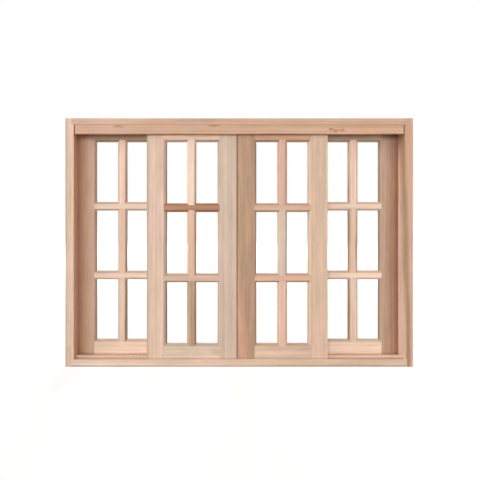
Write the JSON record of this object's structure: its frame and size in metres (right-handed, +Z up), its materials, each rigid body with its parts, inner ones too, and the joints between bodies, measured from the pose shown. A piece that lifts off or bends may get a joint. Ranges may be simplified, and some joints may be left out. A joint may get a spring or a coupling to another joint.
{
  "type": "unglazed timber sliding window",
  "caption": "Raw timber sliding window: a housed frame with fixed outer sashes and inner sashes that slide apart on a runner, each divided by bevelled glazing bars.",
  "frame": {"origin": "on the underside of the sill, at the middle of the frame's width and depth", "axes": "+X along the window to the right as seen from its front, +Y from front to back, +Z up"},
  "size_m": [1.4, 0.12, 1],
  "materials": {
    "frame_timber": "planed, raw",
    "guide_timber": "planed, raw",
    "stile_timber": "planed, raw",
    "rail_timber": "planed, raw",
    "bar_timber": "planed, raw"
  },
  "bodies": {
    "frame": {"left_jamb": "frame_timber", "right_jamb": "frame_timber", "head": "frame_timber", "sill": "frame_timber", "head_fascia": "guide_timber", "head_parting_bead": "guide_timber", "sill_runner": "guide_timber", "rear_side_stops": "guide_timber", "rear_cross_stops": "guide_timber", "fixed_left_left_stile": "stile_timber", "fixed_left_right_stile": "stile_timber", "fixed_left_top_rail": "rail_timber", "fixed_left_bottom_rail": "rail_timber", "fixed_left_upper_bar": "bar_timber", "fixed_left_lower_bar": "bar_timber", "fixed_left_upright_top": "bar_timber", "fixed_left_upright_middle": "bar_timber", "fixed_left_upright_bottom": "bar_timber", "fixed_right_left_stile": "stile_timber", "fixed_right_right_stile": "stile_timber", "fixed_right_top_rail": "rail_timber", "fixed_right_bottom_rail": "rail_timber", "fixed_right_upper_bar": "bar_timber", "fixed_right_lower_bar": "bar_timber", "fixed_right_upright_top": "bar_timber", "fixed_right_upright_middle": "bar_timber", "fixed_right_upright_bottom": "bar_timber"},
    "left_sash": {"sliding_left_left_stile": "stile_timber", "sliding_left_right_stile": "stile_timber", "sliding_left_top_rail": "rail_timber", "sliding_left_bottom_rail": "rail_timber", "sliding_left_upper_bar": "bar_timber", "sliding_left_lower_bar": "bar_timber", "sliding_left_upright_top": "bar_timber", "sliding_left_upright_middle": "bar_timber", "sliding_left_upright_bottom": "bar_timber"},
    "right_sash": {"sliding_right_left_stile": "stile_timber", "sliding_right_right_stile": "stile_timber", "sliding_right_top_rail": "rail_timber", "sliding_right_bottom_rail": "rail_timber", "sliding_right_upper_bar": "bar_timber", "sliding_right_lower_bar": "bar_timber", "sliding_right_upright_top": "bar_timber", "sliding_right_upright_middle": "bar_timber", "sliding_right_upright_bottom": "bar_timber"}
  },
  "joints": [
    {"name": "left_sash_slide", "type": "slide", "parent": "frame", "child": "left_sash", "axis": [-1, 0, 0], "range_m": [0, 0.286]},
    {"name": "right_sash_slide", "type": "slide", "parent": "frame", "child": "right_sash", "axis": [1, 0, 0], "range_m": [0, 0.3]}
  ]
}
